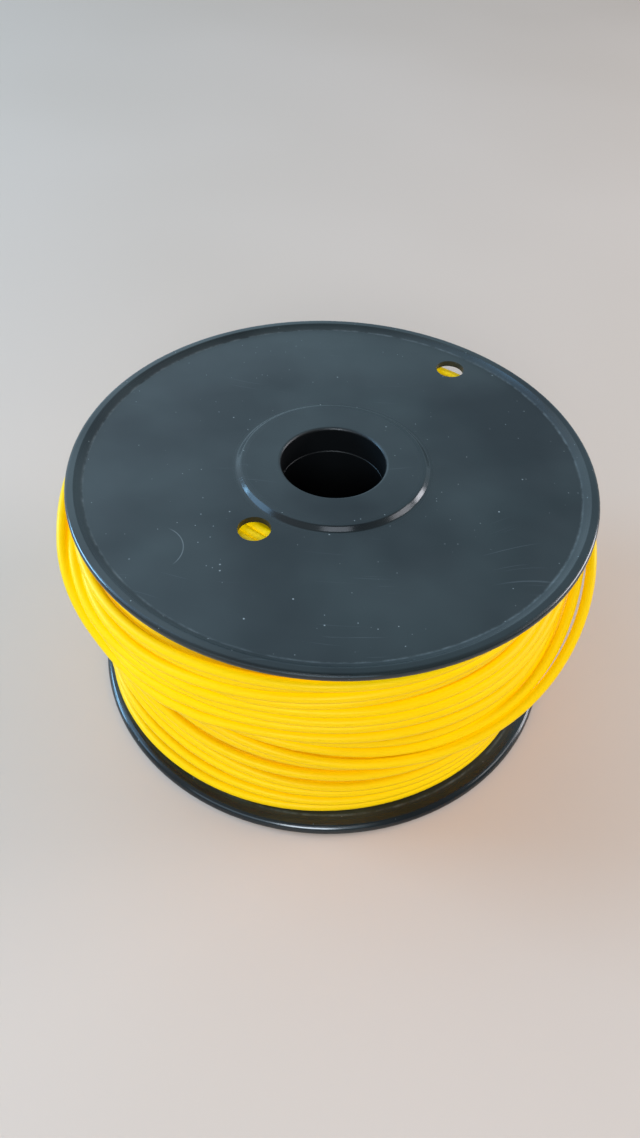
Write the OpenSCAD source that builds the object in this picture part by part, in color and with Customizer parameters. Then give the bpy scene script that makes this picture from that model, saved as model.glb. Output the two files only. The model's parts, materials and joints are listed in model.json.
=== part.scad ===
// Cord reel: two moulded flanges snapped onto a core of two tubes, wound with one thick round cord.
// Millimetres. The spindle axis is +Z and the origin is on it, midway between the two flanges.

/* [Reel] */
// Diameter of the two flanges
flange_d = 150; // [140:1:170]
// Height of the reel over the rims of both flanges
reel_h = 80; // [70:1:100]
// Diameter of the spindle bore
bore_d = 30; // [26:1:32]
// Outside diameter of the core that the cord is wound on
drum_d = 56; // [54:1:60]

/* [Flange section] */
// Thickness of the flange plate
plate_t = 1.9; // [1.5:0.1:2.5]
// How far the rim stands above the plate, on the outside
rim_rise = 1.3; // [1:0.1:2]
// How far the centre boss stands above the plate, on the outside
boss_rise = 1.1; // [0.8:0.1:1.3]
// Radius on the outside edge of the rim
rim_edge_r = 1.1; // [0.6:0.1:1.4]
// Radius on the mouth of the spindle bore
bore_edge_r = 0.9; // [0.4:0.1:1]

/* [Feed holes] */
// Diameter of the two feed holes in each flange
feed_hole_d = 9; // [6:0.5:10]
// Distance from the axis to the outer feed hole
outer_hole_r = 62.4; // [56:0.2:63]
// Distance from the axis to the inner feed hole
inner_hole_r = 34.3; // [34:0.1:45]
// Angle of the outer feed hole from +X, with the inner one opposite it
feed_hole_angle = 54.4; // [0:0.1:360]

/* [Cord] */
// Diameter of the cord
cord_d = 3; // [2.5:0.1:3.2]
// Number of tight outer turns, counted up from the lower flange
tight_turns = 14; // [10:1:15]
// Number of slack outer turns above the tight ones
slack_turns = 10; // [6:1:10]
// How far the slack turns sit off the axis, towards the front
slack_shift = 4.5; // [2:0.1:5]
// How far the loose loops reach past the flanges, at the sides
loop_reach = 5.6; // [3:0.1:6]

/* [Hidden] */
$fn = 128;

plastic_colour = [0.15, 0.18, 0.20];
core_colour = [0.10, 0.11, 0.12];
cord_colour = [1.00, 0.84, 0.05];
eps = 0.5;                                  // how far a cutting shape runs past what it cuts

// Flange heights, from the inner face outwards
flange_r = flange_d / 2;
rim_t = plate_t + rim_rise;
inner_face_z = reel_h / 2 - rim_t;
rim_foot_r = flange_r - 4.7;                // where the rim's slope meets the plate
rim_crest_r = flange_r - 2.5;               // where the slope meets the rim's flat top
rim_heel_r = rim_t - rim_edge_r - 0.1;      // radius on the inside edge of the rim, much softer
boss_foot_r = drum_d / 2 - 0.2;
boss_crest_r = boss_foot_r - 1.4;
slope_round = 0.8;                          // radius at the foot and the crest of both slopes

// Core tubes, and the collars on the flanges that hold them
bore_r = bore_d / 2;
arbor_wall = 2.5;
arbor_chamfer = 0.35;                       // on the bore's edge at both ends of the arbor tube
arbor_r = bore_r + arbor_wall;
collar_depth = 5.5;                         // below the inner face: the collar's end, where the bore's seam is
skirt_depth = 11;                           // the sleeve around the end of the arbor tube
skirt_wall = 2.2;
press_gap = 0.05;
drum_wall = 2.4;
drum_r = drum_d / 2;
drum_inner_r = drum_r - drum_wall;

// Snap fingers on the flanges, and their windows in the drum
spigot_wall = 2;
spigot_r = drum_inner_r - press_gap;
spigot_depth = 5;
finger_count = 4;
finger_angle = 24;
finger_depth = 13;
hook_z = 8.5;                               // depth of the hook's catching edge
hook_reach = 1.2;
hook_land = 0.8;
hook_gap = 0.1;
window_angle = finger_angle + 3;
anchor_hole_d = cord_d + 1;                 // where the inner end of the cord starts, in the drum wall

// Cord layers
cord_r = cord_d / 2;
layer_gap = 0.2;
pack_r = 61;                                // outside of the hidden layers
pack_z = inner_face_z - layer_gap;
turn_pitch = cord_d - 0.04;                 // neighbouring turns flatten a little where they touch
tight_r = flange_r - 4.4;                   // outside of the tight turns, from their own axis
tight_shift = 1.9;                          // how far their axis is off the spindle's, towards -X
slack_r = flange_r - 6;                     // outside of the slack turns, from their own axis
tight_top_z = -pack_z + tight_turns * turn_pitch + 0.04;
slack_low_z = tight_top_z + layer_gap;
loop_r = 50;                                // radius of the loose loops
loop_angle = 50;                            // how far they turn, forwards from their outermost point
loop_y = -8;                                // where they reach furthest out
loop_outer_x = flange_r + loop_reach - cord_r;

// Points on an arc
function arc(centre, r, from, to, steps = 6) =
    [for (i = [0 : steps]) let (a = from + (to - from) * i / steps)
        centre + r * [cos(a), sin(a)]];

// The outline of a slope that rises towards +X, rounded at its foot and its crest
function rising_slope(foot, crest, rise) =
    let (a = atan2(rise, crest - foot), t = slope_round * tan(a / 2))
    concat(arc([foot - t, plate_t + slope_round], slope_round, -90, a - 90, 4),
           arc([crest + t, plate_t + rise - slope_round], slope_round, 90 + a, 90, 4));

// The same, mirrored: the outline of a slope that falls towards +X
function falling_slope(crest, foot, rise) =
    let (rising = rising_slope(-foot, -crest, rise))
    [for (i = [len(rising) - 1 : -1 : 0]) [-rising[i].x, rising[i].y]];

// Half of the flange's section, with the fingers' hooks all the way round
module flange_section() {
    mouth_z = plate_t + boss_rise;
    polygon(concat(
        // bore, centre boss, plate and rim
        [[bore_r, -collar_depth]],
        arc([bore_r + bore_edge_r, mouth_z - bore_edge_r], bore_edge_r, 180, 90),
        falling_slope(boss_crest_r, boss_foot_r, boss_rise),
        rising_slope(rim_foot_r, rim_crest_r, rim_rise),
        arc([flange_r - rim_edge_r, rim_t - rim_edge_r], rim_edge_r, 90, 0),
        arc([flange_r - rim_heel_r, rim_heel_r], rim_heel_r, 0, -90, 8),
        // ring that centres the drum, with the hooks of its fingers
        [[spigot_r, 0], [spigot_r, -hook_z], [spigot_r + hook_reach, -hook_z],
         [spigot_r + hook_reach, -hook_z - hook_land], [spigot_r, -finger_depth],
         [spigot_r - spigot_wall, -finger_depth], [spigot_r - spigot_wall, 0]],
        // sleeve around the arbor tube, and the collar's end that the tube meets
        [[arbor_r + skirt_wall, 0], [arbor_r + skirt_wall, -skirt_depth],
         [arbor_r + press_gap, -skirt_depth], [arbor_r + press_gap, -collar_depth]]));
}

// What is cut out of the ring between two snap fingers
module finger_gap() {
    gap_angle = 360 / finger_count - finger_angle;
    rotate([0, 0, finger_angle / 2]) rotate_extrude(angle = gap_angle)
        translate([spigot_r - spigot_wall - eps, -finger_depth - eps])
            square([spigot_wall + hook_reach + 2 * eps, finger_depth - spigot_depth + eps]);
}

module feed_hole(r, angle) {
    rotate([0, 0, angle]) translate([r, 0, -eps])
        cylinder(d = feed_hole_d, h = rim_t + 2 * eps);
}

// Inner face on z = 0, outside facing +Z
module flange() {
    color(plastic_colour) difference() {
        rotate_extrude() flange_section();
        for (i = [0 : finger_count - 1]) rotate([0, 0, i * 360 / finger_count]) finger_gap();
        feed_hole(outer_hole_r, feed_hole_angle);
        feed_hole(inner_hole_r, feed_hole_angle + 180);
    }
}

module top_flange() {
    translate([0, 0, inner_face_z]) flange();
}

module bottom_flange() {
    rotate([180, 0, 0]) translate([0, 0, inner_face_z]) flange();
}

module tube(outer_r, inner_r, length) {
    difference() {
        cylinder(r = outer_r, h = length, center = true);
        cylinder(r = inner_r, h = length + 2 * eps, center = true);
    }
}

module snap_window() {
    window_h = finger_depth - hook_z + 2 * hook_gap;
    rotate([0, 0, -window_angle / 2])
        rotate_extrude(angle = window_angle)
            translate([drum_inner_r - eps, -hook_z + hook_gap - window_h])
                square([drum_wall + 2 * eps, window_h]);
}

module core_drum() {
    color(core_colour) difference() {
        tube(drum_r, drum_inner_r, 2 * inner_face_z);
        for (side = [0, 180], i = [0 : finger_count - 1])
            rotate([side, 0, 0]) translate([0, 0, inner_face_z])
                rotate([0, 0, i * 360 / finger_count]) snap_window();
        rotate([0, 90, 45]) cylinder(d = anchor_hole_d, h = drum_r + eps);
    }
}

module arbor_tube() {
    end_z = inner_face_z - collar_depth;
    color(core_colour) rotate_extrude()
        polygon([[arbor_r, -end_z], [arbor_r, end_z], [bore_r + arbor_chamfer, end_z],
                 [bore_r, end_z - arbor_chamfer], [bore_r, -end_z + arbor_chamfer],
                 [bore_r + arbor_chamfer, -end_z]]);
}

// A stack of turns side by side: round on the outside, flat on the inside
module turn_stack(outside_r, inside_r, low_z, turns) {
    rotate_extrude() {
        for (i = [0 : turns - 1])
            translate([outside_r - cord_r, low_z + cord_r + i * turn_pitch]) circle(cord_r, $fn = 48);
        translate([inside_r, low_z + 0.5])
            square([outside_r - cord_r - inside_r, (turns - 1) * turn_pitch + cord_d - 1]);
    }
}

module cord_inner_layers() {
    color(cord_colour) tube(pack_r, drum_r + layer_gap, 2 * pack_z);
}

module cord_tight_turns() {
    color(cord_colour) translate([-tight_shift, 0, 0])
        turn_stack(tight_r, pack_r + tight_shift + layer_gap, -pack_z, tight_turns);
}

module cord_slack_turns() {
    color(cord_colour) translate([0, -slack_shift, 0])
        turn_stack(slack_r, pack_r + slack_shift + layer_gap, slack_low_z, slack_turns);
}

// Arcs of cord side by side that bulge to +X, tilted so that their front ends hang lower
module loose_loops(count, reach, z, tilt, step) {
    for (i = [0 : count - 1])
        translate([reach - loop_r - i * step.x, loop_y, z - i * step.z])
            rotate([tilt, 0, 0]) rotate([0, 0, -loop_angle])
                rotate_extrude(angle = 2 * loop_angle - 10)
                    translate([loop_r, 0]) circle(cord_r, $fn = 48);
}

module cord_left_loops() {
    color(cord_colour) mirror([1, 0, 0])
        loose_loops(3, loop_outer_x - 0.9, pack_z - 7.6, 8, [0.5, 0, cord_d + 0.1]);
}

module cord_right_loops() {
    color(cord_colour) loose_loops(2, loop_outer_x, 14, 20, [0.8, 0, cord_d + 1.5]);
}

top_flange();
bottom_flange();
core_drum();
arbor_tube();
cord_inner_layers();
cord_tight_turns();
cord_slack_turns();
cord_left_loops();
cord_right_loops();
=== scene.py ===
import json
import math

import bpy
import numpy as np
from mathutils import Matrix, Vector


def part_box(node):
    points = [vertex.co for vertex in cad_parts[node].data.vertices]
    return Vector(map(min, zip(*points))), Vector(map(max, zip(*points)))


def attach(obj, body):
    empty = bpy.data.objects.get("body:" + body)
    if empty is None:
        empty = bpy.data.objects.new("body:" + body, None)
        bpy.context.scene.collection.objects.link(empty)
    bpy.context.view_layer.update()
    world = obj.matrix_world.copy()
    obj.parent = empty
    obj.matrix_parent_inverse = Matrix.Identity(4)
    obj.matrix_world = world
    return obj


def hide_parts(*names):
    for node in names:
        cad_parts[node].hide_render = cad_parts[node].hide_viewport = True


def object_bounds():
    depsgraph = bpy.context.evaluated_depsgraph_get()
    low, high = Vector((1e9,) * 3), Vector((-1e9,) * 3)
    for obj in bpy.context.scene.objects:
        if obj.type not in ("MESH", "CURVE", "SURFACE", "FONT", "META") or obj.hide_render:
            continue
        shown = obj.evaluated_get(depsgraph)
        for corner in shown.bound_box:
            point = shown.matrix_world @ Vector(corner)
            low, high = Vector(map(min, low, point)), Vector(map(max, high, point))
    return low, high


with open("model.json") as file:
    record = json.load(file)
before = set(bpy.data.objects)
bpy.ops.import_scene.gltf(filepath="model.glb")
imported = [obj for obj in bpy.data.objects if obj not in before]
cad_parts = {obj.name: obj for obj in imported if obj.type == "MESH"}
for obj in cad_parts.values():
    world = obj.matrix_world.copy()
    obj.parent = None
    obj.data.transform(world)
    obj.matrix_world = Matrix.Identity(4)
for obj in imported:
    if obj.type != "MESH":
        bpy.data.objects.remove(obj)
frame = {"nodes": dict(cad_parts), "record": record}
CAD_LOW, CAD_HIGH = [list(v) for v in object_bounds()]

MM = 0.001
RNG = np.random.default_rng(7)

# ------------------------------------------------------------------ sizes from the frame, in millimetres

FLANGE_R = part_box("top_flange")[1].x / MM
DRUM_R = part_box("core_drum")[1].x / MM
BORE_R = [m["dims"]["r_mm"] for m in frame["record"]["mounts"] if m["name"] == "spindle_bore"][0]
CORD_D = 3.0                 # the cord's diameter is in no box of the frame
CORD_R = CORD_D / 2
CLEARANCE = 0.05             # between the cord and what it lies on
PACK_INSET = 0.5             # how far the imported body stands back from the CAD's
# how far up and down the cord's centre line goes, so that the cord stays between both flanges
Z_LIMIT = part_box("cord_inner_layers")[1].z / MM - CORD_R - CLEARANCE
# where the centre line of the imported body's outermost turns runs
PACK_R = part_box("cord_inner_layers")[1].x / MM - CORD_R - PACK_INSET

# ------------------------------------------------------------------ winding
# Radii and heights are in millimetres. Azimuths are in degrees: 0 is the right of the reel, 90 its
# back, 180 its left and -90 its front, which faces the camera.

SLICES = 160                 # slices round the reel that each turn of cord crosses
SLICE_DEG = 360.0 / SLICES
SEAM_DEG = 90.0              # turns begin and end at the back of the reel
# azimuth of every slice, running from the back by the right to the front and on by the left
AZ = SEAM_DEG - (np.arange(SLICES) + 0.5) * SLICE_DEG
PACK_PITCH = CORD_D + 0.02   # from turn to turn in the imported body
UNDER_PITCH = CORD_D + 0.06  # from turn to turn in the layers over it
NEAREST = CORD_D + 0.02      # how close the loose turns are meant to come to any other
TIGHT_WANDER = 0.25          # how far the tight turns wander up and down
SLACK_WANDER_Z, SLACK_WANDER_R = 0.3, 0.25


def around(points, soften=5.0):
    """Values at every slice from (azimuth, value) points, repeated round the reel.
    A bell curve softens them; its spread is given in degrees."""
    deg = np.array([p[0] for p in points], float)
    val = np.array([p[1] for p in points], float)
    order = np.argsort(deg)
    deg, val = deg[order], val[order]
    deg = np.concatenate([deg - 360, deg, deg + 360])
    val = np.concatenate([val, val, val])
    fine = np.interp((AZ + 180) % 360 - 180, deg, val)
    reach = max(1, int(3 * soften / SLICE_DEG))
    offsets = np.arange(-reach, reach + 1)
    weight = np.exp(-0.5 * (offsets * SLICE_DEG / soften) ** 2)
    weight /= weight.sum()
    return sum(w * np.roll(fine, o) for w, o in zip(weight, offsets))


def wander(turns):
    """Slow, seeded wandering of each turn, so that no two lie exactly parallel."""
    waves = 6
    out = np.zeros((turns, SLICES))
    for k in range(turns):
        for w in range(1, waves + 1):
            amp = RNG.normal() / w ** 0.7
            out[k] += amp * np.sin(np.radians(AZ) * w + RNG.uniform(0, 2 * math.pi))
    return out


def off_axis(radius, shift):
    """Distance from the reel's axis to a circle whose centre is shifted to the left."""
    a = np.radians(AZ)
    return -shift * np.cos(a) + np.sqrt(radius ** 2 - (shift * np.sin(a)) ** 2)


def rising(first, count, pitch):
    """Heights of turns that climb by one pitch per turn, as a helix."""
    step = np.arange(count)[:, None] + (np.arange(SLICES)[None] + 0.5) / SLICES
    return first + step * pitch


def turn_of(radius, height):
    """One turn, or several, as (radius, height) pairs at every slice."""
    return np.stack([radius + 0 * height, height], -1)


def base_turns():
    """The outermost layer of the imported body, from flange to flange."""
    count = int(2 * Z_LIMIT / PACK_PITCH)
    return turn_of(PACK_R, rising(-Z_LIMIT, count, 2 * Z_LIMIT / count))


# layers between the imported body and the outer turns: how far outside the body each one lies, how far
# off the axis to the left, how far above the lower flange it starts, and its number of turns
UNDER_LAYERS = ((3.0, 0.4, 0.3, 20), (6.1, 1.6, 0.0, 19))


def under_turns(outside, shift, start, count):
    """A regular layer, given as in UNDER_LAYERS."""
    return turn_of(off_axis(PACK_R + outside, shift), rising(-Z_LIMIT + start, count, UNDER_PITCH))


def tight_turns():
    """Outer turns that lie close together at the front and spread up the pack at the left."""
    r = around([(-165, 71.6), (-140, 70.8), (-120, 69.5), (-100, 68.8), (-90, 67.8), (-60, 67.4),
                (-40, 68.3), (0, 67.3), (90, 68.0), (150, 71.0)])
    z = np.array([
        around([(0, -Z_LIMIT)]),
        around([(-150, -23), (-135, -25), (-120, -28.7), (-105, -30), (-90, -32.5), (-60, -33),
                (90, -32)]),
        around([(-150, -12), (-135, -15), (-120, -20.9), (-105, -24.4), (-90, -27), (-60, -28.5),
                (90, -28)]),
        around([(-150, -6), (-135, -9.5), (-120, -15.2), (-105, -21.2), (-90, -24), (-60, -26),
                (90, -24)])])
    return turn_of(r, z + TIGHT_WANDER * wander(len(z)))


def rider_turns():
    """Turns that come down over the tight ones from the left; two of them swing out at the right."""
    # the first gathers the tight turns at the left and dips under the next one at the front
    first_z = around([(-170, 8), (-150, 2), (-140, -2), (-132, -5), (-125, -8.3), (-118, -10.8),
                      (-110, -13), (-100, -14.8), (-90, -15.8), (-75, -17.5), (-60, -19), (-40, -20),
                      (30, -18), (90, -12), (150, 2)], 3.0)
    first_r = around([(-170, 72), (-135, 71.2), (-120, 70.5), (-105, 69.5), (-90, 68.6), (-60, 68.2),
                      (0, 68), (90, 69), (150, 71.5)])
    # a turn behind the first and the leader fills the wedge between them
    filler_z = around([(-170, 12), (-150, 6), (-135, 1), (-125, -1.5), (-118, -3.8), (-110, -6.3),
                       (-100, -8.9), (-90, -10.8), (-75, -12.8), (-60, -14), (-30, -13), (30, -11),
                       (90, -5), (150, 7)], 3.0)
    filler_r = around([(-170, 71), (-135, 70), (-118, 69.6), (-100, 68.6), (-90, 68), (-60, 67.8),
                       (30, 67.8), (90, 68.5), (150, 70.5)])
    # the leader is the outermost loop at the right, which hangs lowest there and rises to the flange
    lead_z = around([(-180, 14), (-150, 12), (-135, 9), (-125, 6), (-118, 3.3), (-110, -0.2),
                     (-100, -3.2), (-90, -5.5), (-80, -7), (-70, -7.9), (-60, -8.4), (-47, -3.5),
                     (-38, -2.5), (-26, 6.5), (-18, 19), (-10, 28), (0, 31), (15, 29), (54, 20),
                     (90, 12), (120, 10), (150, 12)], 3.0)
    lead_r = around([(-180, 71), (-150, 70.6), (-135, 70.2), (-125, 70.6), (-118, 71), (-110, 70.8),
                     (-90, 70.3), (-80, 70.6), (-70, 71.4), (-60, 73), (-47, 76.4), (-38, 77.9),
                     (-26, 80.9), (-18, 80.6), (-10, 76.8), (0, 73.8), (20, 72.5), (54, 73.5),
                     (90, 74), (120, 73), (150, 71.5)], 3.0)
    # its neighbour lies above it, a step further in, and parts from it higher up
    beside_z = lead_z + around([(-180, 3), (-120, 3), (-105, 5), (-97, 5.2), (-90, 5.3), (-80, 3.1),
                                (-70, 2.7), (-60, 1.8), (-47, 2.0), (-38, 1.5), (-26, 0.8),
                                (-10, -1.0), (20, 0), (54, 2.8), (150, 3)])
    beside_r = lead_r - around([(-180, 0.2), (-105, 0.6), (-90, 1.3), (-80, 1.8), (-60, 2.5),
                                (-47, 2.5), (-38, 2.9), (-29, 3.5), (-22, 5.0), (-14, 5.2),
                                (-6, 3.4), (20, 2.8), (54, 0.6), (150, 0.3)], 3.0)
    # the last shows only at the right of the front, where it comes out from under the slack turns
    last_z = around([(-180, 18), (-150, 14), (-120, 9), (-105, 6), (-92, 3.6), (-80, 1.2),
                     (-70, -0.8), (-60, -2.8), (-47, -0.6), (-38, 0.6), (-26, 6), (-18, 13),
                     (-10, 17), (0, 17), (54, 6), (90, 2), (150, 14)], 3.0)
    last_r = around([(-180, 70.8), (-120, 69.5), (-92, 69), (-80, 68.6), (-60, 69.4), (-47, 71.8),
                     (-38, 72.6), (-26, 73.6), (-18, 72.8), (-10, 71.6), (0, 71), (54, 70.6),
                     (150, 70.6)], 3.0)
    return np.array([turn_of(first_r, first_z), turn_of(filler_r, filler_z), turn_of(lead_r, lead_z),
                     turn_of(beside_r, beside_z), turn_of(last_r, last_z)])


# the slack turns that show, from the lowest one up: share of the height left above the lowest one
# at the front, how much that share shrinks towards the left, and how far the turn stands back
SLACK_TURNS = ((0.0, 0.0, 0.0), (0.17, 0.0, 0.1), (0.28, 0.0, 0.3), (0.38, 0.1, 1.0),
               (0.51, 0.25, 2.4), (0.69, 0.41, -0.3), (0.80, 0.31, 1.4), (0.91, 0.21, -0.3),
               (1.0, 0.0, 0.8))
TOP_SHARE = 0.985            # the highest a slack turn is aimed, as a share of the same height
EDGE_TURNS = 3.0             # how many turns up the lowest one's own path fades out
# turns behind those that show, evenly spread up the same height
BURIED_TURNS = tuple(((k + 0.5) / 5, 0.0, 0.0) for k in range(5))
BURIED_DEPTH = 3.1


def slack_turns(turns, depth):
    """Turns of the slack bundle, given as in SLACK_TURNS, all this deep behind the bundle's face."""
    # the lowest turn swings out furthest and rises to the flange at both sides
    edge_z = around([(-180, 31.5), (-172, 30.5), (-163, 26), (-155, 17), (-147, 6), (-135, 3.2),
                     (-120, 7.7), (-110, 9), (-90, 8.8), (-70, 9), (-60, 8.2), (-50, 5.6),
                     (-40, 5.0), (-26, 10.0), (-18, 16), (-10, 21), (0, 22), (30, 18), (60, 15),
                     (90, 14), (130, 18), (160, 27)], 3.0)
    edge_r = around([(-180, 77.2), (-165, 77.8), (-155, 77), (-147, 75.4), (-135, 73.4),
                     (-122, 72.3), (-110, 71.7), (-97, 71.6), (-85, 71.6), (-72, 71.7), (-60, 72),
                     (-47, 72.2), (-35, 71.8), (-26, 71), (-18, 70), (-10, 70), (0, 70), (30, 70.5),
                     (90, 71), (130, 73), (160, 76)], 3.0)
    # the turns above it hang more evenly round the reel
    even_z = around([(-180, 16), (-160, 11), (-147, 5), (-135, 3.2), (-110, 9), (-85, 8.8),
                     (-60, 8.7), (-47, 6.4), (-35, 7), (-18, 12), (0, 18), (30, 16), (60, 13),
                     (90, 13), (130, 14)])
    even_r = around([(-180, 73), (-165, 74.5), (-155, 74.5), (-147, 74), (-135, 73.4),
                     (-110, 71.7), (-85, 71.6), (-60, 72), (-47, 71.8), (-35, 71), (-18, 69.5),
                     (0, 69.5), (40, 69.5), (90, 71), (150, 72)])
    # how far the topmost turn leans in, and where the shares shrink
    lean = around([(-180, 1), (-160, 1), (-140, 0.5), (-110, 0.3), (-85, -0.3), (-60, 1), (-40, 3.5),
                   (-20, 5), (0, 5), (30, 5), (54, 4.2), (90, 4), (140, 3)])
    leftward = around([(-180, -1), (-135, -1), (-90, 0), (-60, 0.5), (-30, 0.4), (0, 0), (90, 0),
                       (150, -0.6)])
    bundle = []
    for k, (share, shrink, back) in enumerate(turns):
        own = max(0.0, 1.0 - k / EDGE_TURNS) if not depth else 0.0
        z = own * edge_z + (1 - own) * even_z
        r = own * edge_r + (1 - own) * even_r
        part = np.clip(share * (1 + shrink * leftward), 0, TOP_SHARE)
        bundle.append(turn_of(r - lean * part - depth - back, z + (Z_LIMIT - z) * part))
    bundle = np.array(bundle)
    bundle[..., 1] += SLACK_WANDER_Z * wander(len(turns))
    bundle[..., 0] += SLACK_WANDER_R * wander(len(turns))
    return bundle


def settle(target, fixed, rounds):
    """Relaxes the turns: drawn to their target, smooth along the cord, about a cord's width apart."""
    pull, last_pull, last_part = 0.08, 0.02, 0.75   # the pull eases off for the last quarter
    smoothing, pushing, passes = 0.5, 0.6, 2
    # under the outer feed hole, the turns next to the upper flange keep further in
    free, near_top = 90.0, 29.0
    cap_under_hole = around([(-180, free), (20, free), (38, 66.0), (70, 66.0), (88, free),
                             (180, free)], 3.0)
    x = target.copy()
    turns = len(x)
    for it in range(rounds):
        x += (last_pull if it > rounds * last_part else pull) * (target - x)
        flat = x.reshape(-1, 2)
        for _ in range(passes):
            flat[1:-1] += smoothing * (0.5 * (flat[:-2] + flat[2:]) - flat[1:-1])
        x = flat.reshape(turns, SLICES, 2)
        for _ in range(passes):
            everything = np.concatenate([x, fixed])
            d = x[:, None] - everything[None]
            gap = np.sqrt((d ** 2).sum(-1)) + 1e-9
            near = np.clip(NEAREST - gap, 0, None)
            near[np.arange(turns), np.arange(turns)] = 0
            # two loose turns share the push between them, and one next to a fixed turn takes it all
            weight = np.where(np.arange(len(everything)) < turns, 0.5, 1.0)[None, :, None]
            x += pushing * ((d / gap[..., None]) * (near * weight)[..., None]).sum(1)
            x[..., 1] = np.clip(x[..., 1], -Z_LIMIT, Z_LIMIT)
            cap = np.where(x[..., 1] > near_top, cap_under_hole[None], free)
            x[..., 0] = np.clip(x[..., 0], PACK_R + CORD_D, cap)
    return x


def cord_points(turns):
    """Centre line in metres from turns of (radius, height), one after another as a single cord."""
    a = np.radians(np.broadcast_to(AZ, turns.shape[:2]))
    r, z = turns[..., 0], turns[..., 1]
    return np.stack([r * np.cos(a), r * np.sin(a), z], -1).reshape(-1, 3) * MM


def flat_spiral(height):
    """Centre line of the turns at one end of the pack: a flat spiral from the drum outwards."""
    start = DRUM_R + CORD_R + CLEARANCE
    total = int((PACK_R - DRUM_R) / PACK_PITCH) * SLICES
    r = start + np.arange(total) / total * (PACK_R - PACK_PITCH - DRUM_R - CORD_R)
    a = np.radians(SEAM_DEG - (np.arange(total) + 0.5) * SLICE_DEG)
    return np.stack([r * np.cos(a), r * np.sin(a), np.full(total, height)], -1) * MM


# ------------------------------------------------------------------ meshes

CORD_SIDES = 16
DOME_DEG = (30, 60, 84)      # latitudes of the rings that close each end of a cord


def new_piece(name, verts, faces, smooth=True):
    mesh = bpy.data.meshes.new(name)
    mesh.from_pydata(verts, [], faces)
    mesh.polygons.foreach_set("use_smooth", [smooth] * len(mesh.polygons))
    piece = bpy.data.objects.new(name, mesh)
    bpy.context.scene.collection.objects.link(piece)
    return piece


def tube_arrays(p):
    """A round cord with domed ends along the points p, as its vertices, faces, (length, turn)
    coordinates and number of rings."""
    radius = CORD_R * MM
    tangent = np.gradient(p, axis=0)
    tangent /= np.linalg.norm(tangent, axis=1)[:, None]
    out = p * [1, 1, 0]
    out /= np.maximum(np.linalg.norm(out, axis=1), 1e-9)[:, None]
    out -= (out * tangent).sum(1)[:, None] * tangent
    out /= np.linalg.norm(out, axis=1)[:, None]
    side = np.cross(tangent, out)
    length = np.concatenate([[0], np.cumsum(np.linalg.norm(np.diff(p, axis=0), axis=1))])
    dome = np.radians(DOME_DEG)
    grow = np.concatenate([np.cos(dome[::-1]), np.ones(len(p)), np.cos(dome)])
    along = np.concatenate([-np.sin(dome[::-1]), np.zeros(len(p)), np.sin(dome)]) * radius
    pick = np.concatenate([[0] * len(dome), np.arange(len(p)), [len(p) - 1] * len(dome)])
    angle = (np.arange(CORD_SIDES) * 2 * math.pi / CORD_SIDES)[None, :, None]
    spokes = out[pick][:, None] * np.cos(angle) + side[pick][:, None] * np.sin(angle)
    centre = p[pick] + tangent[pick] * along[:, None]
    verts = (centre[:, None] + spokes * (radius * grow)[:, None, None]).reshape(-1, 3)
    rows = len(pick)
    i = np.arange(rows - 1)[:, None] * CORD_SIDES
    j = np.arange(CORD_SIDES)[None]
    k = (j + 1) % CORD_SIDES
    quads = np.stack([i + j, i + k, i + CORD_SIDES + k, i + CORD_SIDES + j], -1).reshape(-1, 4)
    run = (length[pick] + along)[:, None]
    shape = (rows - 1, CORD_SIDES, 4)
    u = np.broadcast_to(np.stack([run[:-1], run[:-1], run[1:], run[1:]], -1), shape)
    v = np.broadcast_to(np.stack([j, j + 1, j + 1, j], -1) / CORD_SIDES, shape)
    return verts, quads, np.stack([u, v], -1).reshape(-1, 2), rows


def cord_piece(name, cords):
    """One piece made of several cords, each given as its centre line in metres."""
    verts, faces, uvs = [], [], []
    base = 0
    for points in cords:
        v, quads, uv, rows = tube_arrays(points)
        verts.append(v)
        faces += (quads + base).tolist()
        uvs.append(uv)
        first_cap = [base + s for s in range(CORD_SIDES)][::-1]
        last_cap = [base + (rows - 1) * CORD_SIDES + s for s in range(CORD_SIDES)]
        faces += [first_cap, last_cap]
        uvs.append(np.zeros((2 * CORD_SIDES, 2)))
        base += len(v)
    piece = new_piece(name, np.concatenate(verts).tolist(), faces)
    layer = piece.data.uv_layers.new(name="cord_length")
    layer.data.foreach_set("uv", np.concatenate(uvs).astype(np.float32).ravel())
    return piece


def lathe_piece(name, profile):
    """Closed body turned from (radius, height) points in millimetres, listed anticlockwise."""
    steps = 96
    a = np.arange(steps) * 2 * math.pi / steps
    r, z = np.array(profile).T[:, :, None] * MM
    verts = np.stack([r * np.cos(a), r * np.sin(a), z + 0 * a], -1).reshape(-1, 3)
    faces = []
    for i in range(len(profile)):
        n = (i + 1) % len(profile)
        for j in range(steps):
            k = (j + 1) % steps
            faces.append([i * steps + j, i * steps + k, n * steps + k, n * steps + j])
    return new_piece(name, verts.tolist(), faces)


# ------------------------------------------------------------------ material helpers

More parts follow.
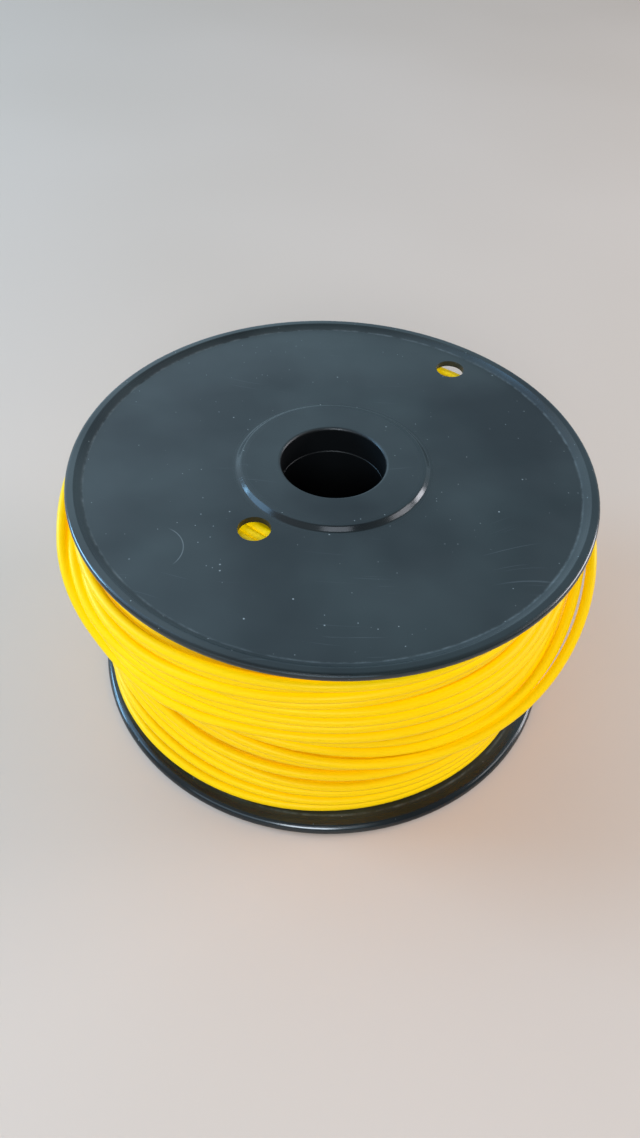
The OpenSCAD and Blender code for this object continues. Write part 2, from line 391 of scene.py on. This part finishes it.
class Graph:
    """Short names for building a node tree."""

    def __init__(self, tree):
        self.tree = tree

    def put(self, socket, value):
        if isinstance(value, bpy.types.NodeSocket):
            self.tree.links.new(value, socket)
        elif value is not None:
            socket.default_value = value

    def add(self, kind, settings=None, **inputs):
        n = self.tree.nodes.new(kind)
        for key, value in (settings or {}).items():
            setattr(n, key, value)
        for key, value in inputs.items():
            self.put(n.inputs[key.replace("_", " ")], value)
        return n

    def coords(self, kind="Object"):
        return self.add("ShaderNodeTexCoord").outputs[kind]

    def split(self, vector):
        return self.add("ShaderNodeSeparateXYZ", Vector=vector).outputs

    def maths(self, operation, *values):
        n = self.add("ShaderNodeMath", {"operation": operation})
        for socket, value in zip(n.inputs, values):
            self.put(socket, value)
        return n.outputs[0]

    def plus(self, a, b):
        return self.maths("ADD", a, b)

    def minus(self, a, b):
        return self.maths("SUBTRACT", a, b)

    def times(self, a, b):
        return self.maths("MULTIPLY", a, b)

    def most(self, a, b):
        return self.maths("MAXIMUM", a, b)

    def distance(self, x, y):
        return self.maths("SQRT", self.plus(self.maths("POWER", x, 2.0), self.maths("POWER", y, 2.0)))

    def off_by(self, a, b):
        return self.maths("ABSOLUTE", self.minus(a, b))

    def scaled(self, vector, scale, turn=(0, 0, 0)):
        return self.add("ShaderNodeMapping", Vector=vector, Scale=scale, Rotation=turn).outputs[0]

    def noise(self, vector, scale, detail=3.0, rough=0.5):
        return self.add("ShaderNodeTexNoise", Vector=vector, Scale=scale, Detail=detail,
                        Roughness=rough).outputs[0]

    def span(self, value, low, high, to_low=0.0, to_high=1.0):
        """Maps low..high to to_low..to_high, held at both ends."""
        return self.add("ShaderNodeMapRange", Value=value, From_Min=low, From_Max=high,
                        To_Min=to_low, To_Max=to_high).outputs[0]

    def band(self, radius, edges):
        """Rises from 0 to 1 between two radii in millimetres."""
        return self.span(radius, edges[0] * MM, edges[1] * MM)

    def blend(self, factor, a, b):
        """Mixes two colours, which are the node's inputs 6 and 7."""
        n = self.add("ShaderNodeMix", {"data_type": "RGBA"})
        for index, value in ((0, factor), (6, a), (7, b)):
            self.put(n.inputs[index], value)
        return n.outputs[2]

    def bump(self, height, distance, strength, normal=None):
        return self.add("ShaderNodeBump", Height=height, Distance=distance, Strength=strength,
                        Normal=normal).outputs[0]

    def surface(self, **inputs):
        shader = self.add("ShaderNodeBsdfPrincipled", **inputs)
        self.add("ShaderNodeOutputMaterial", Surface=shader.outputs[0])


def new_material(name):
    mat = bpy.data.materials.new(name)
    mat.use_nodes = True
    mat.node_tree.nodes.clear()
    return mat, Graph(mat.node_tree)


def srgb(*levels):
    """A linear colour from levels of 0 to 255."""
    shares = [level / 255.0 for level in levels]
    return tuple(c / 12.92 if c <= 0.04045 else ((c + 0.055) / 1.055) ** 2.4 for c in shares) + (1.0,)


# ------------------------------------------------------------------ materials

# hair scratches on the plastic: direction in radians, waves per metre along them, threshold
SCRATCHES = ((0.5, 22.0, 0.745), (1.9, 30.0, 0.75), (2.7, 16.0, 0.75), (1.2, 40.0, 0.75))
SCRATCH_THIN = 60.0                           # how many times finer they are across than along
DUST = ((260.0, 0.08), (620.0, 0.12))         # specks: cells per metre, size as a share of a cell
DUST_LEFT = (0.86, 0.9)                       # only cells whose random red is this high keep a speck
CORNER_R = FLANGE_R - 4.7                     # where the plate meets the rim, and dust gathers
RIM_SLOPE = (FLANGE_R - 4.0, FLANGE_R - 2.5)  # where the rubbed rim begins
BOSS_INSIDE = (DRUM_R - 3.2, DRUM_R - 2.2)    # where the boss's rubbed slope begins
BOSS_OUTSIDE = (DRUM_R + 0.9, DRUM_R + 0.3)   # and where it ends, from the outside in
BORE_EDGE = (BORE_R + 0.5, BORE_R + 0.1)      # where the bore begins, from the outside in
FIBRE_AT, FIBRE_CURL = (-45.6, -37.0), 8.2    # a fibre on the top plate: centre and radius of its curl


def fibre_on_plate(g, x, y, z):
    """A curled fibre lying on the upper side of the top plate: part of a thin circle."""
    off_x = g.minus(x, FIBRE_AT[0] * MM)
    off_y = g.minus(y, FIBRE_AT[1] * MM)
    thin = g.span(g.off_by(g.distance(off_x, off_y), FIBRE_CURL * MM), 0.18 * MM, 0.06 * MM)
    ahead = g.plus(off_x, g.times(off_y, 0.25))
    part = g.times(thin, g.span(ahead, 0.6 * FIBRE_CURL * MM, 0.8 * FIBRE_CURL * MM))
    return g.times(part, g.span(z, 0.0, 10 * MM))


def plastic(name, dark, pale, in_use):
    """Satin moulded plastic: clouds, fine grain, hair scratches and dust specks.
    With in_use, also a dusty line in the plate's corner, and a fibre."""
    mat, g = new_material(name)
    pos = g.coords()
    x, y, z = g.split(pos)
    radius = g.distance(x, y)
    cloud = g.noise(pos, 22.0, 3.0, 0.55)
    sheen_cloud = g.noise(pos, 24.0, 3.0, 0.5)
    colour = g.blend(g.span(cloud, 0.35, 0.65), dark, pale)

    # noise stretched along a direction, on slightly bent coordinates, leaves thin lines above a threshold
    bent = g.blend(0.06, pos, g.add("ShaderNodeTexNoise", Vector=pos, Scale=8.0).outputs[1])
    scratch = 0.0
    for turn, along, edge in SCRATCHES:
        stretched = g.scaled(bent, (along, SCRATCH_THIN * along, along), (0, 0, turn))
        scratch = g.most(scratch, g.span(g.noise(stretched, 1.0, 1.0, 0.5), edge, edge + 0.02))
    scratch = g.times(scratch, g.span(g.noise(pos, 35.0, 2.0), 0.5, 0.62))

    dust = 0.0
    for scale, edge in DUST:
        cell = g.add("ShaderNodeTexVoronoi", Vector=pos, Scale=scale)
        spot = g.span(cell.outputs["Distance"], edge, edge * 0.4)
        red = g.add("ShaderNodeSeparateColor", Color=cell.outputs["Color"]).outputs[0]
        dust = g.most(dust, g.times(spot, g.span(red, *DUST_LEFT)))
    if in_use:
        in_corner = g.span(g.off_by(radius, CORNER_R * MM), 0.5 * MM, 0.1 * MM)
        patchy = g.times(in_corner, g.span(g.noise(pos, 180.0, 4.0, 0.8), 0.4, 0.7))
        dust = g.most(dust, g.times(patchy, 0.3))
        dust = g.most(dust, g.times(fibre_on_plate(g, x, y, z), 0.35))
    colour = g.blend(g.times(scratch, 0.12), colour, srgb(120, 128, 132))
    colour = g.blend(g.times(dust, 0.55), colour, srgb(165, 172, 172))

    # the rim and the boss's slope are rubbed smoother than the plate
    on_rim = g.band(radius, RIM_SLOPE)
    on_boss = g.times(g.band(radius, BOSS_INSIDE), g.band(radius, BOSS_OUTSIDE))
    rough = g.span(sheen_cloud, 0.3, 0.7, 0.30, 0.40)
    rough = g.minus(rough, g.times(g.most(on_rim, on_boss), 0.2))
    rough = g.plus(rough, g.times(g.span(g.noise(pos, 60.0, 4.0, 0.6), 0.4, 0.7), 0.06))
    rough = g.plus(rough, g.times(dust, 0.3))

    # painted shade: inside the bore the colour is darker, as the hole lies in shade; the moulding there
    # is matt and keeps little sheen
    in_bore = g.band(radius, BORE_EDGE)
    colour = g.blend(in_bore, colour, srgb(11, 12, 13))
    sheen = g.times(g.span(in_bore, 0.0, 1.0, 0.5, 0.25), g.span(sheen_cloud, 0.35, 0.65, 0.78, 1.22))

    grain = g.noise(pos, 2600.0, 2.0, 0.6)
    normal = g.bump(g.minus(grain, g.times(scratch, 1.2)), 0.01 * MM, 0.6)
    normal = g.bump(g.noise(pos, 45.0, 2.0), 0.2 * MM, 0.35, normal)
    g.surface(Base_Color=colour, Roughness=rough, Normal=normal, IOR=1.5, Specular_IOR_Level=sheen)
    return mat


def extruded_cord(name):
    """Glossy yellow cord: faint draw lines, soft colour drift, and painted light where turns nestle: a
    lighter yellow and a painted glow.
    """
    mat, g = new_material(name)
    uv = g.coords("UV")
    drift = g.noise(g.scaled(uv, (9.0, 0.6, 1.0)), 1.0, 3.0, 0.5)
    draw = g.noise(g.scaled(uv, (12.0, 9.0, 1.0)), 1.0, 2.0, 0.5)
    colour = g.blend(g.span(drift, 0.3, 0.7), srgb(235, 186, 0), srgb(238, 192, 0))
    colour = g.blend(g.span(draw, 0.5, 0.8, 0.0, 0.15), colour, srgb(233, 181, 0))
    # painted light in the valleys: where turns nestle, the colour is a lighter yellow and the cord glows,
    # standing in for light that reaches them through the slightly translucent neighbours
    openness = g.add("ShaderNodeAmbientOcclusion", {"samples": 4},
                     Distance=1.3 * CORD_D * MM).outputs["AO"]
    colour = g.blend(g.span(openness, 0.2, 0.8), srgb(234, 193, 0), colour)
    rough = g.span(g.noise(g.coords(), 90.0, 3.0, 0.6), 0.3, 0.7, 0.36, 0.46)
    g.surface(Base_Color=colour, Roughness=rough, Normal=g.bump(draw, 0.02 * MM, 0.15), IOR=1.5,
              Specular_IOR_Level=0.3, Specular_Tint=srgb(255, 240, 150),
              # painted glow, stronger where the turns nestle
              Emission_Color=srgb(235, 203, 0),
              Emission_Strength=g.span(openness, 0.8, 0.2, 0.0, 0.32))
    return mat


# ------------------------------------------------------------------ the cord

base = base_turns()
under = [under_turns(*layer) for layer in UNDER_LAYERS]
tight_target = tight_turns()
buried = slack_turns(BURIED_TURNS, BURIED_DEPTH)
shown = slack_turns(SLACK_TURNS, 0.0)[::-1]
loose = np.concatenate([tight_target, rider_turns(), buried, shown])
settled = settle(loose, np.concatenate([base] + under), 220)
tight_part, slack_part = settled[:len(tight_target)], settled[len(tight_target):]

inner = cord_piece("cord_inner_winding",
                   [cord_points(base), flat_spiral(Z_LIMIT), flat_spiral(-Z_LIMIT)])
tight = cord_piece("cord_tight_winding", [cord_points(t) for t in under + [tight_part]])
slack = cord_piece("cord_slack_winding", [cord_points(slack_part)])
core_r = DRUM_R + 0.2        # just clear of the drum
core = lathe_piece("cord_buried_layers", [(core_r, -Z_LIMIT), (PACK_R, -Z_LIMIT),
                                          (PACK_R, Z_LIMIT), (core_r, Z_LIMIT)])
yellow = extruded_cord("cord_yellow")
for piece in (inner, tight, slack, core):
    piece.data.materials.append(yellow)
    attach(piece, "root")
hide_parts("cord_inner_layers")
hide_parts("cord_tight_turns")
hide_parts("cord_slack_turns", "cord_left_loops", "cord_right_loops")

# ------------------------------------------------------------------ the reel

reel_black = plastic("reel_black", srgb(15, 21, 24), srgb(27, 36, 37), True)
core_black = plastic("core_black", srgb(13, 14, 15), srgb(18, 20, 21), False)
for node, mat in (("top_flange", reel_black), ("bottom_flange", reel_black),
                  ("core_drum", core_black), ("arbor_tube", core_black)):
    mesh = frame["nodes"][node].data
    mesh.materials.clear()
    mesh.materials.append(mat)

# ------------------------------------------------------------------ floor

HALF_FLOOR = 3.0             # metres
corners = [(x, y, CAD_LOW[2]) for x, y in ((-HALF_FLOOR, -HALF_FLOOR), (HALF_FLOOR, -HALF_FLOOR),
                                           (HALF_FLOOR, HALF_FLOOR), (-HALF_FLOOR, HALF_FLOOR))]
floor = new_piece("floor", corners, [(0, 1, 2, 3)], smooth=False)
pale_floor, g = new_material("pale_floor")
tone = g.span(g.noise(g.coords(), 3.0, 2.0), 0.3, 0.7)
g.surface(Base_Color=g.blend(tone, srgb(187, 166, 150), srgb(194, 173, 158)), Roughness=0.7)
floor.data.materials.append(pale_floor)

# ------------------------------------------------------------------ light

# name, place, width and height in metres, watts, colour; every one faces the reel
LIGHTS = (
    ("window_left", (-1.27, 0.22, 0.42), (0.5, 0.45), 14.0, (0.30, 0.64, 1.0)),
    ("window_front", (-0.06, -1.25, 0.87), (0.5, 0.5), 14.0, (0.82, 0.91, 1.0)),
    ("window_wide", (-0.4, -1.45, 0.85), (2.2, 0.6), 9.5, (0.58, 0.80, 1.0)),
    ("window_right", (1.28, 0.36, 0.42), (0.6, 0.5), 10.0, (0.94, 0.93, 1.0)),
    # dim panels higher up, which the slopes of the boss and the rim catch
    ("panel_left", (-1.03, 0.07, 0.87), (0.55, 0.45), 3.4, (0.30, 0.62, 1.0)),
    ("panel_right", (1.06, 0.02, 0.83), (0.5, 0.3), 2.0, (0.93, 0.93, 1.0)),
    ("panel_front", (0.12, -0.66, 1.17), (0.5, 0.2), 1.1, (0.80, 0.88, 1.0)),
    ("panel_back", (-0.60, 0.37, 1.15), (0.3, 0.3), 1.2, (0.25, 0.58, 1.0)),
)
for name, place, (width, height), watts, colour in LIGHTS:
    data = bpy.data.lights.new(name, "AREA")
    data.shape = "RECTANGLE"
    data.size, data.size_y = width, height
    data.energy = watts
    data.color = colour
    light = bpy.data.objects.new(name, data)
    light.location = place
    light.rotation_euler = (-Vector(place)).to_track_quat("-Z", "Y").to_euler()
    bpy.context.scene.collection.objects.link(light)

# a soft room: brighter beyond the reel and to the left, dimmer overhead and towards the horizon
NEAR_ROOM, FAR_ROOM = (0.95, 0.94, 0.93, 1.0), (0.61, 0.84, 1.0, 1.0)
NEAR_STRENGTH = 0.36
world = bpy.data.worlds.new("studio")
world.use_nodes = True
w = Graph(world.node_tree)
to_x, to_y, to_z = w.split(w.coords("Generated"))
beyond = w.span(to_y, -0.25, 0.7)
leftward = w.span(to_x, 0.04, -0.2, 0.72, 1.5)
overhead = w.span(to_z, 0.75, 1.0, 1.0, 0.45)
low_down = w.span(to_z, 0.5, 0.75, 0.82, 1.0)
strength = w.times(w.plus(beyond, NEAR_STRENGTH), w.times(leftward, overhead))
background = world.node_tree.nodes["Background"]
w.put(background.inputs["Color"], w.blend(beyond, NEAR_ROOM, FAR_ROOM))
w.put(background.inputs["Strength"], w.times(strength, low_down))
bpy.context.scene.world = world

# ------------------------------------------------------------------ camera

CAMERA_AT = (0.0, -0.18635, 0.19626)           # metres
PAN, TILT, ROLL = -0.01345, 0.82585, 0.04404   # radians: to the right, down, and about the view
LENS, SENSOR_H, CLIP = 26.77, 36.0, 0.01       # millimetres, millimetres, metres

lens = bpy.data.cameras.new("camera")
lens.sensor_fit = "VERTICAL"
lens.sensor_height = SENSOR_H
lens.lens = LENS
lens.clip_start = CLIP
camera = bpy.data.objects.new("camera", lens)
forward = Vector((math.sin(PAN) * math.cos(TILT), math.cos(PAN) * math.cos(TILT), -math.sin(TILT)))
level = Vector((math.cos(PAN), -math.sin(PAN), 0.0))
upright = level.cross(forward)
right = math.cos(ROLL) * level + math.sin(ROLL) * upright
up = -math.sin(ROLL) * level + math.cos(ROLL) * upright
aim = Matrix((right, up, -forward)).transposed().to_4x4()
camera.matrix_world = Matrix.Translation(CAMERA_AT) @ aim
bpy.context.scene.collection.objects.link(camera)
bpy.context.scene.camera = camera
bpy.context.scene.view_settings.view_transform = "Standard"
